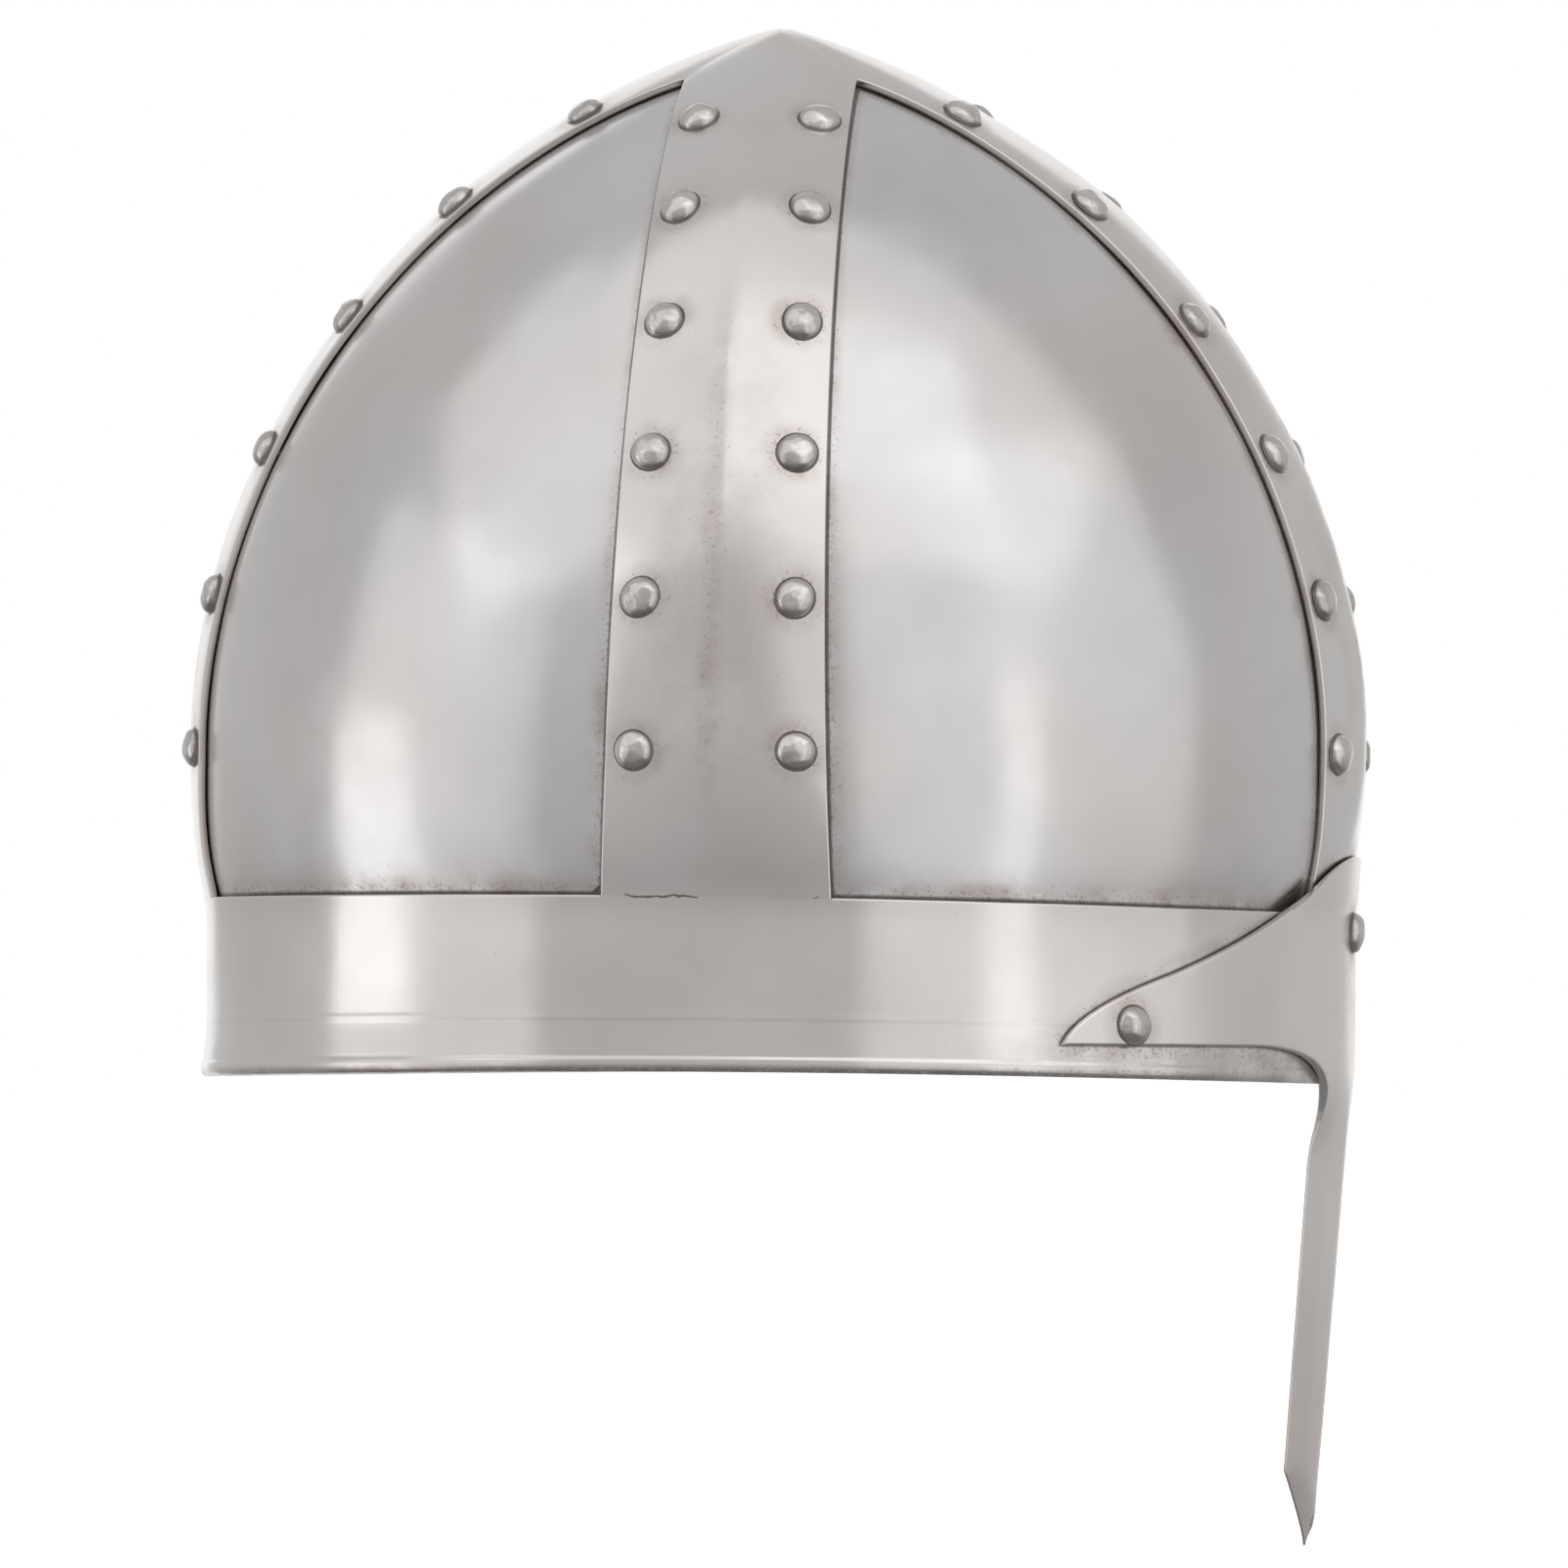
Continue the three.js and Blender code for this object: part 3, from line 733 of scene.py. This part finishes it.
def make_rivet(name, point, normal, grip, seed, segments=28):
    """A set rivet, no two alike: its head is domed by hand and a little out of round."""
    chance = np.random.default_rng(seed)
    head = HEAD_RADIUS * chance.uniform(0.95, 1.02)
    tall = HEAD_HEIGHT * chance.uniform(0.88, 1.0)
    r, h = rivet_section(head, tall, grip)
    turn = np.linspace(0, 2 * math.pi, segments + 1)
    oval = 1 + chance.uniform(0.0, 0.05) * np.cos(2 * turn)
    local = np.stack([r * oval * np.cos(turn), r * oval * np.sin(turn), h + 0 * turn], -1)
    local[..., 2] += wobble(local, scale=2.6, height=0.3, seed=seed) * smoothstep(local[..., 2], 0.3, 1.6)
    aim = Vector(normal).to_track_quat("Z", "Y").to_matrix()
    spun = np.array(aim @ Matrix.Rotation(chance.uniform(0, 6.28), 3, "Z"))
    placed = local @ spun.T + point
    height = np.abs(local[..., 2])
    edge = nearness(np.maximum(height - HEAD_SUNK, 0) * 1.35)
    # Painted shade: the head darkens towards its foot.
    stain_and_shade = 0.8 * (1 - smoothstep(local[..., 2], 0.1, 1.3))
    marks = {"edge": [edge[::-1]], "stain_and_shade": [stain_and_shade[::-1]]}
    made = object_from(f"{name}_domed", [placed[::-1]], marks)
    smooth(made, 60)
    settle(made, RIVET_STEEL, name)


# ---------------------------------------------------------------- frame: band and straps


# Stretches of weld that the grinder left open, as distances across each strap's foot.
OPEN_WELDS = {
    "front": (),
    "left": ((-12, 3),),
    "back": ((4, 17),),
    "right": ((-18, -2), (18.5, 21.5)),
}


def unevenness(points):
    """The frame was dressed as one piece, so its band and straps share one unevenness."""
    return wobble(points, scale=34, height=0.3, seed=3)


def foot_offset(strap, phi):
    """Distance across a strap's foot, at an angle round the band."""
    turned = (phi - strap.heading + math.pi) % (2 * math.pi) - math.pi
    across = strap.oval * BAND_RADIUS * np.sin(turned)
    return np.where(np.abs(turned) < math.pi / 2, across, 1e3)


def is_open(strap, d):
    """Whether the weld was left open at a distance d across a strap's foot."""
    found = np.zeros_like(d, bool)
    for low, high in OPEN_WELDS[strap.name]:
        found |= (d > low) & (d < high)
    return found


def round_the_band(steps=400):
    """Angles round the band, with one on each side of every corner of a strap's foot."""
    corners = []
    for strap in STRAPS:
        for side in (-1, 1):
            for d in (strap.foot - 0.05, strap.foot + 0.05):
                turn = side * math.asin(d / (strap.oval * BAND_RADIUS))
                corners.append((strap.heading + turn) % (2 * math.pi))
    return np.unique(np.concatenate([np.linspace(0, 2 * math.pi, steps + 1), corners]))


def make_brow_band(rows=12):
    """One hoop: outside from the top edge down over the flare and the bead, then inside."""
    phi = round_the_band()
    feet = [np.abs(foot_offset(strap, phi)) < strap.foot for strap in STRAPS]
    ease = np.where(np.any(feet, axis=0), 0.004, EDGE_EASE)
    around = np.abs((phi + math.pi) % (2 * math.pi) - math.pi)
    away = smoothstep(around, FLARE_STARTS, FLARE_FULL)
    level = np.zeros_like(phi)

    def row(n, z):
        return np.stack([n + level, z + level])

    turns = np.radians((90, 60, 30, 0))
    section = [row(-ease * (1 - math.cos(a)), BAND_HEIGHT - ease * (1 - math.sin(a))) for a in turns]
    section += [row(0, z) for z in np.linspace(BAND_HEIGHT - 0.8, CREASE_AT + 1.6, rows)]
    over_crease = np.linspace(CREASE_AT + 1.3, CREASE_AT - 1.3, 9)
    down_flare = np.linspace(8.8, FLARE_FOOT, 7)
    for z in np.concatenate([over_crease, down_flare]):
        crease = CREASE_HEIGHT * math.exp(-((z - CREASE_AT) / CREASE_WIDTH) ** 2)
        lean = min(max((FLARE_TOP - z) / (FLARE_TOP - FLARE_FOOT), 0), 1)
        section.append(row(crease + FLARE * lean * away, z))
    bead_starts, bead_ends = 0.9, -1.5
    for a in np.linspace(bead_starts, bead_ends, 11):
        bead = FLARE + 2 * BEAD * (math.cos(a) - math.cos(bead_starts))
        section.append(row(bead * away, BEAD_AT + BEAD_RISE * math.sin(a)))
    section += [row(-FRAME_THICKNESS + 0.36 * away, 0.5), row(-FRAME_THICKNESS + 0.24 * away, 3)]
    section += [row(-FRAME_THICKNESS, z) for z in np.linspace(9, BAND_HEIGHT - INNER_EASE, rows)]
    section += [row(-FRAME_THICKNESS + INNER_EASE, BAND_HEIGHT), section[0]]

    n, z = np.stack(section, 1)
    s = (z / BAND_HEIGHT) * band_top(phi) + (1 - z / BAND_HEIGHT) * (rim_lift(phi) - BAND_HEIGHT)
    flat = on_form(phi + 0 * s, s, n, welded_profile)
    points = on_form(phi + 0 * s, s, n + unevenness(flat) * smoothstep(z, 1, 10), welded_profile)

    rise = s - band_top(phi)
    open_here = [is_open(strap, foot_offset(strap, phi)) for strap in STRAPS]
    outside = n > -0.5
    open_weld, rise = weld_marks(rise, np.any(open_here, axis=0) & outside)
    nasal = np.where(outside, nasal_distance(phi, s) + GUARD_LINE, REACH)
    # Bloom gathers on the rim, the band is darker brown low down towards the face, and round the root of the
    # nasal guard it is darkened with painted shade.
    brow = smoothstep(np.cos(phi), 0.35, 0.75) * (1 - smoothstep(z, 5, 10))
    rim = 1 - smoothstep(z, 0.4, 2.6)
    shade = (1 - smoothstep(nasal, 0, 10)) * smoothstep(np.cos(phi), 0.8, 0.95) * (z < 20)
    marks = {
        "edge": nearness(np.minimum(np.maximum(z, 0) * 1.6 + 0.3, nasal)),
        "rivet": nearness(rivet_distance(points)),
        "stain_and_shade": 0.6 * brow + 0.45 * rim + 0.6 * shade,
        "open_weld": open_weld,
        "rise": rise,
    }
    marks = {key: [values[::-1]] for key, values in marks.items()}
    made = object_from("brow_band_rolled", [points[::-1]], marks)
    smooth(made)
    settle(made, FRAME_STEEL, "brow_band")


def strap_section(columns=26):
    """Across a strap, once round: share of the inset half width, extra width, and n."""
    even = np.linspace(-1, 1, columns + 1)
    crowded = 0.75 * even + 0.25 * even ** 3
    face = [(share, 0.0, 0.0) for share in crowded]
    turns = np.radians((30, 60, 90))
    left = [(1, EDGE_EASE * math.sin(a), -EDGE_EASE * (1 - math.cos(a))) for a in turns]
    left += [(1, EDGE_EASE, -FRAME_THICKNESS + INNER_EASE)]
    inside = [(share, EDGE_EASE - INNER_EASE, -FRAME_THICKNESS) for share in np.linspace(1, -1, 11)]
    right = [(-share, extra, n) for share, extra, n in left[::-1]]
    return np.array(face + left + inside + right + face[:1]).T


def make_strap_cross(rows=100):
    """Four ridged arms that meet in mitres and share one smooth crown."""
    share, extra, n = strap_section()
    up = np.linspace(0, 1, rows + 1)[:, None] ** 1.05
    grids, marks = [], {"edge": [], "rivet": [], "stain_and_shade": [], "open_weld": [], "rise": []}

    def across(width):
        return share * (width - EDGE_EASE) + np.sign(share) * extra

    outside = n > -0.5
    ends = np.interp(np.abs(across(STRAP_TOP)) / STRAP_TOP, MITRE_SHARE, MITRE_AT)
    for strap in STRAPS:
        start = band_top(strap.heading + strap_angle(strap, 0.0, across(strap.foot)))
        s = start + (ends - start) * up
        d = across(half_width(strap.foot, s))
        angle = strap.heading + strap_angle(strap, s, d)
        low = n + fold(strap, d, s)
        flat = on_form(angle, s, low, welded_profile)
        grids.append(on_form(angle, s, low + unevenness(flat), welded_profile))
        # Bloom lies between the rivet rows; a darker strip just beside the fold's line is painted shade that
        # marks the fold's valley.
        over_foot = smoothstep(s, 14, 34)
        middle = (1 - smoothstep(s, 60, 165)) * over_foot * (1 - smoothstep(np.abs(d), 9, 16))
        crease = (1 - smoothstep(s, 90, 150)) * over_foot * (1 - smoothstep(np.abs(d + 1), 0.5, 3.5))
        marks["stain_and_shade"].append(0.3 * middle + 0.45 * crease)
        marks["rivet"].append(nearness(rivet_distance(flat)))
        nasal = np.where(outside, nasal_distance(angle, s) + GUARD_LINE, REACH)
        marks["edge"].append(nearness(nasal))
        open_weld, rise = weld_marks(s - start, is_open(strap, d) & outside)
        marks["open_weld"].append(open_weld)
        marks["rise"].append(rise)
    made = object_from("strap_cross_ground", grids, marks, closed=True)
    smooth(made)
    settle(made, FRAME_STEEL, "strap_cross")


# ---------------------------------------------------------------- plates

# Each plate: its name, the straps that it lies between, and the seed of its unevenness.
QUARTERS = (
    ("plate_front_left", 0, 1, 11),
    ("plate_back_left", 1, 2, 12),
    ("plate_back_right", 2, 3, 13),
    ("plate_front_right", 3, 0, 14),
)


def edge_distance(points, s, phi):
    """Distances in mm from points of a plate to the nearest strap's edge and the band's."""
    beside_front = np.abs(points[..., 0]) - half_width(FRONT_FOOT, s)
    beside_side = np.abs(points[..., 1]) - half_width(SIDE_FOOT, s)
    over_band = s - band_top(phi)
    return np.minimum(beside_front, beside_side), over_band


def make_plate(name, first, last, seed, columns=64, rows=84):
    """A quarter of the bowl, raised by hand and planished, behind the frame."""
    first, last = STRAPS[first], STRAPS[last]
    s = np.linspace(-PLATE_OVERLAP, PLATE_TOP_AT, rows + 1)[:, None]
    start = strap_angle(first, s, half_width(first.foot, s) - PLATE_OVERLAP)
    end = math.pi / 2 - strap_angle(last, s, half_width(last.foot, s) - PLATE_OVERLAP)
    phi = first.heading + start + (end - start) * np.linspace(0, 1, columns + 1)
    s = s + 0 * phi
    depth = PLATE_SPRING - plate_outer(s)
    points = on_form(phi, s, depth)
    inner = smoothstep(np.minimum(*edge_distance(points, s, phi)), 0, 14)
    uneven = wobble(points, scale=48, height=0.75, seed=seed)
    uneven += wobble(points, scale=24, height=0.22, seed=seed + 9)
    points = on_form(phi, s, depth + inner * uneven)
    beside, above = edge_distance(points, s, phi)
    # Grime lies wide along the band and beside the straps' feet, and thin higher up.
    low = 1 - smoothstep(s, 25, 150)
    away = np.minimum(beside * (2.2 - low), above)
    marks = {
        "edge": [nearness(np.minimum(away, nasal_distance(phi, s) + GUARD_LINE))],
        "stain_and_shade": [0.35 * low * (1 - smoothstep(away, 2, 8))],
    }
    made = object_from(f"{name}_raised", [points], marks)
    thicken(made, PLATE_THICKNESS, 0.2)
    settle(made, PLATE_STEEL, name)


# ---------------------------------------------------------------- nasal guard


def cut_along(bm, low, high, step, axis):
    """Cuts a flat mesh along evenly spaced lines, so that it can be bent smoothly."""
    normal = Vector((0, 0, 0))
    normal[axis] = 1
    for at in np.arange(low + step / 2, high, step):
        everything = bm.verts[:] + bm.edges[:] + bm.faces[:]
        place = Vector((0, 0, 0))
        place[axis] = at
        bmesh.ops.bisect_plane(bm, geom=everything, dist=1e-5, plane_co=place, plane_no=normal)


def make_nasal_guard():
    """A flat blank, cut to shape, filed along its edges and bent round the brow."""
    bm = bmesh.new()
    bm.faces.new([bm.verts.new((x, y, 0)) for x, y in NASAL_OUTLINE])
    grown = bmesh.ops.extrude_face_region(bm, geom=bm.faces[:])
    raised = [v for v in grown["geom"] if isinstance(v, bmesh.types.BMVert)]
    bmesh.ops.translate(bm, verts=raised, vec=(0, 0, NASAL_THICKNESS))
    bmesh.ops.recalc_face_normals(bm, faces=bm.faces)
    rims = [e for e in bm.edges if len(e.link_faces) == 2 and e.calc_face_angle() > math.radians(60)
            and abs(e.verts[0].co.z - e.verts[1].co.z) < 1e-4]
    bmesh.ops.bevel(bm, geom=rims, offset=0.4, segments=2, profile=0.5, affect="EDGES")
    cut_along(bm, -WING_REACH, WING_REACH, step=2, axis=0)
    cut_along(bm, BAR_TIP, NASAL_PEAK, step=2.6, axis=1)
    mesh = bpy.data.meshes.new("nasal_guard_bent")
    bm.to_mesh(mesh)
    bm.free()
    flat = np.array([v.co for v in mesh.vertices])
    bent = on_nasal(flat[:, 0], flat[:, 1], flat[:, 2])
    uneven = wobble(bent, scale=26, height=0.14, seed=21) * (flat[:, 2] > NASAL_THICKNESS / 2)
    bent = on_nasal(flat[:, 0], flat[:, 1], flat[:, 2] + uneven)
    mesh.vertices.foreach_set("co", (bent * MM).ravel())
    set_marks(mesh, {"rivet": nearness(rivet_distance(bent))})
    made = link("nasal_guard_bent", mesh)
    smooth(made, 60)
    settle(made, NASAL_STEEL, "nasal_guard")


# ---------------------------------------------------------------- liner and lace


def liner_depth(s):
    """How far the liner's outer face lies under the form."""
    rise = np.maximum(s - LINER_SLIT, 0) / (LINER_TOP - LINER_SLIT)
    return LINER_DEPTH + LINER_DRAW_IN * rise ** 2


def tongue_half(s):
    """Half angle of a tongue: full at the slit's foot, rounded off at its tip."""
    half = math.pi / TONGUES
    rise = np.clip((s - LINER_SLIT) / (LINER_TOP - LINER_SLIT), 0, 1)
    gap = SLIT_HALF_ANGLE + (TIP_GAP_HALF_ANGLE - SLIT_HALF_ANGLE) * rise
    opened = smoothstep(s, LINER_SLIT, LINER_SLIT + 5)
    return half - gap * opened


def make_liner(columns=20, rows=64):
    """A headband with eight tongues that lean in over the head, cut from one hide."""
    share = np.linspace(-1, 1, columns + 1)
    grids = []
    for i in range(TONGUES):
        middle = (i + 0.5) * 2 * math.pi / TONGUES
        tip = LINER_TOP - TONGUE_ROUNDING * (1 - np.sqrt(1 - 0.96 * share ** 2))
        s = LINER_BOTTOM + (tip - LINER_BOTTOM) * np.linspace(0, 1, rows + 1)[:, None]
        phi = middle + share * tongue_half(s)
        depth = -liner_depth(s)
        points = on_form(phi, s, depth)
        ripple = wobble(points, scale=30, height=1.0, seed=31) * smoothstep(s, 20, 70)
        grids.append(on_form(phi, s, depth + np.minimum(ripple, 0.4)))
    made = object_from("leather_liner_cut", grids)
    thicken(made, LEATHER_THICKNESS, 0.45)
    settle(made, LINER_LEATHER, "leather_liner")


def make_lace(steps=240, sides=12):
    """The thong that weaves through the tongues' eyelets and draws them together."""
    phi = np.linspace(0, 2 * math.pi, steps + 1)[:, None]
    turn = np.linspace(0, 2 * math.pi, sides + 1)
    wave = -LACE_WAVE * np.cos(TONGUES * phi)
    centre = wave - liner_depth(LACE_AT) - LEATHER_THICKNESS / 2
    flat = 1 + 0.12 * np.cos(2 * (turn - 9 * phi))
    s = LACE_AT + LACE_RADIUS * flat * np.sin(turn)
    points = on_form(phi + 0 * turn, s, centre + LACE_RADIUS * flat * np.cos(turn))
    made = object_from("liner_lace_thong", [points.transpose(1, 0, 2)])
    smooth(made, 80)
    settle(made, LACE_LEATHER, "liner_lace")


# ---------------------------------------------------------------- assembly

FIRST_RIVET_SEED = 100

make_brow_band()
make_strap_cross()
for plate in QUARTERS:
    make_plate(*plate)
make_nasal_guard()
for number, station in enumerate(STRAP_RIVETS + NASAL_RIVETS, start=FIRST_RIVET_SEED):
    make_rivet(*station, seed=number)
make_liner()
make_lace()


# ---------------------------------------------------------------- floor, light, camera

# Metres and degrees. Azimuths run round from the face by way of the wearer's left.
AIM = Vector((0.0002, -0.0015, 0.0594))
CAMERA_AZIMUTH = 276.9
CAMERA_ELEVATION = -0.3
CAMERA_ROLL = 0.4
CAMERA_DISTANCE = 10.0
CAMERA_SEES_TO = 200
FIELD = 0.3136
SENSOR = 36.0
FLOOR_HALF_SIZE = 80
LIT_POINT = Vector((0, 0, 0.08))
LIGHT_DISTANCE = 3.0
GREY_ROUND = 0.62
GREY_BELOW = 0.22

# Each softbox: its azimuth from the viewer, face side plus, its elevation, how wide and
# tall a piece of sky it fills, and its radiance.
SOFTBOXES = (
    ("softbox_back", -70, 2, 48, 56, 0.3),
    ("softbox_back_low", -84, -18, 20, 46, 0.5),
    ("softbox_face", 48, 5, 70, 80, 0.30),
    ("softbox_face_low", 41, -8, 10, 44, 0.4),
    ("softbox_above", -7, 60, 108, 58, 0.34),
    ("softbox_crown", 18, 54, 40, 28, 0.35),
    ("softbox_behind", 180, 4, 50, 60, 0.45),
)


def towards(azimuth, elevation):
    """A direction from the helmet, by its angles from the viewer's."""
    turn = math.radians(CAMERA_AZIMUTH + azimuth)
    rise = math.radians(elevation)
    return Vector((math.sin(turn) * math.cos(rise), -math.cos(turn) * math.cos(rise), math.sin(rise)))


def make_camera():
    """The viewer stands at the wearer's right, a little towards the face."""
    data = bpy.data.cameras.new("viewer")
    camera = link("viewer", data)
    back = towards(0, CAMERA_ELEVATION)
    camera.location = AIM + back * CAMERA_DISTANCE
    aim = (-back).to_track_quat("-Z", "Y").to_matrix().to_4x4()
    roll = Matrix.Rotation(math.radians(CAMERA_ROLL), 4, "Z")
    camera.rotation_euler = (aim @ roll).to_euler()
    data.sensor_width = SENSOR
    data.lens = SENSOR * CAMERA_DISTANCE / FIELD
    data.clip_end = CAMERA_SEES_TO
    bpy.context.scene.camera = camera


def make_floor():
    """Pale matt board, at the lowest point of the nasal bar: plain, evenly lit and
    faintly mottled. It stays out of the steel's reflections, which show the softboxes
    alone."""
    low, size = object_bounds()[0].z, FLOOR_HALF_SIZE
    mesh = bpy.data.meshes.new("floor")
    corners = [(-size, -size, low), (size, -size, low), (size, size, low), (-size, size, low)]
    mesh.from_pydata(corners, [], [(0, 1, 2, 3)])
    floor = link("floor", mesh)
    floor.visible_glossy = False
    floor.visible_shadow = False
    material, tree, shader, where = new_material("pale_matt_board")
    tint = add(tree, "ShaderNodeTexNoise", {"Vector": where, "Scale": per_mm(1000 / 3), "Detail": 3})
    tree.links.new(mixed(tree, tint, linear("#f4f4f4"), linear("#f1f1f1")), shader.inputs["Base Color"])
    shader.inputs["Roughness"].default_value = 0.9
    shader.inputs["Specular IOR Level"].default_value = 0.0
    shader.inputs["Emission Color"].default_value = (1, 1, 1, 1)
    shader.inputs["Emission Strength"].default_value = 0.8
    mesh.materials.append(material)


def add_softbox(name, azimuth, elevation, wide, tall, radiance):
    """A soft light that fills the given angles of sky, as bright as the radiance says."""
    data = bpy.data.lights.new(name, "AREA")
    data.shape = "RECTANGLE"
    data.size = 2 * LIGHT_DISTANCE * math.tan(math.radians(wide / 2))
    data.size_y = 2 * LIGHT_DISTANCE * math.tan(math.radians(tall / 2))
    data.energy = radiance * math.pi * data.size * data.size_y
    lamp = link(name, data)
    aim = towards(azimuth, elevation)
    lamp.location = LIT_POINT + aim * LIGHT_DISTANCE
    lamp.rotation_euler = aim.to_track_quat("Z", "Y").to_euler()
    lamp.visible_camera = False


def make_light():
    """Wide softboxes round and over the helmet, in a grey surround that darkens below the
    horizon. The camera itself sees plain white behind the helmet."""
    world = bpy.data.worlds.new("pale_surround")
    bpy.context.scene.world = world
    world.use_nodes = True
    tree = world.node_tree
    seen = add(tree, "ShaderNodeLightPath", out="Is Camera Ray")
    where = add(tree, "ShaderNodeTexCoord", out="Generated")
    up = add(tree, "ShaderNodeSeparateXYZ", {0: where}, out="Z")
    grey = add(tree, "ShaderNodeMapRange",
               {"Value": up, "From Min": -0.8, "From Max": 0.0,
                "To Min": GREY_BELOW, "To Max": GREY_ROUND})
    surround = add(tree, "ShaderNodeBackground", {"Color": grey})
    backdrop = add(tree, "ShaderNodeBackground", {"Color": (1, 1, 1, 1)})
    either = add(tree, "ShaderNodeMixShader", {0: seen, 1: surround, 2: backdrop})
    tree.links.new(either, tree.nodes["World Output"].inputs["Surface"])
    for softbox in SOFTBOXES:
        add_softbox(*softbox)


make_camera()
make_floor()
make_light()
bpy.context.scene.view_settings.view_transform = "Standard"
